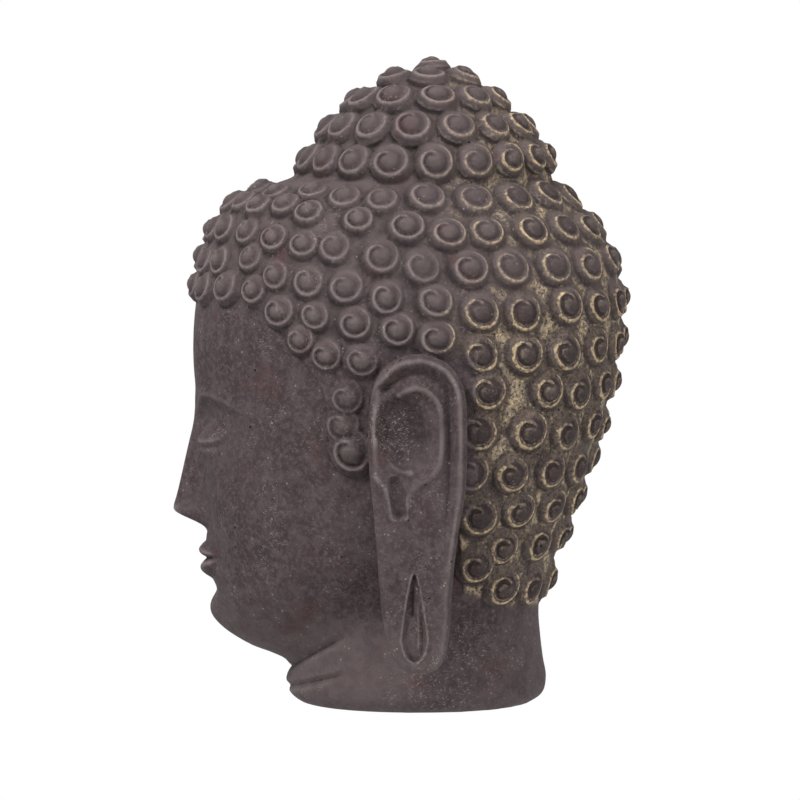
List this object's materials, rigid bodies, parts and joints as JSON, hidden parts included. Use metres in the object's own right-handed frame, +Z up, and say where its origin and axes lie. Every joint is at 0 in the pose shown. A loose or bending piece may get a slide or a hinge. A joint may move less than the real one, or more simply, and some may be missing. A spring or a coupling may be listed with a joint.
{
  "type": "stone buddha head",
  "caption": "Stone head with snail-shell curls, a domed topknot and long ears, on a short neck cut flat below so that it stands by itself.",
  "frame": {"origin": "middle of the flat underside of the neck, on the surface that the head stands on", "axes": "+Z up, through the neck and the topknot; the face looks along -Y; +X is towards the head's own left ear"},
  "size_m": [0.2443, 0.2832, 0.3997],
  "materials": {
    "stone": "matte"
  },
  "bodies": {
    "root": {"buddha_head": "stone"}
  },
  "joints": []
}
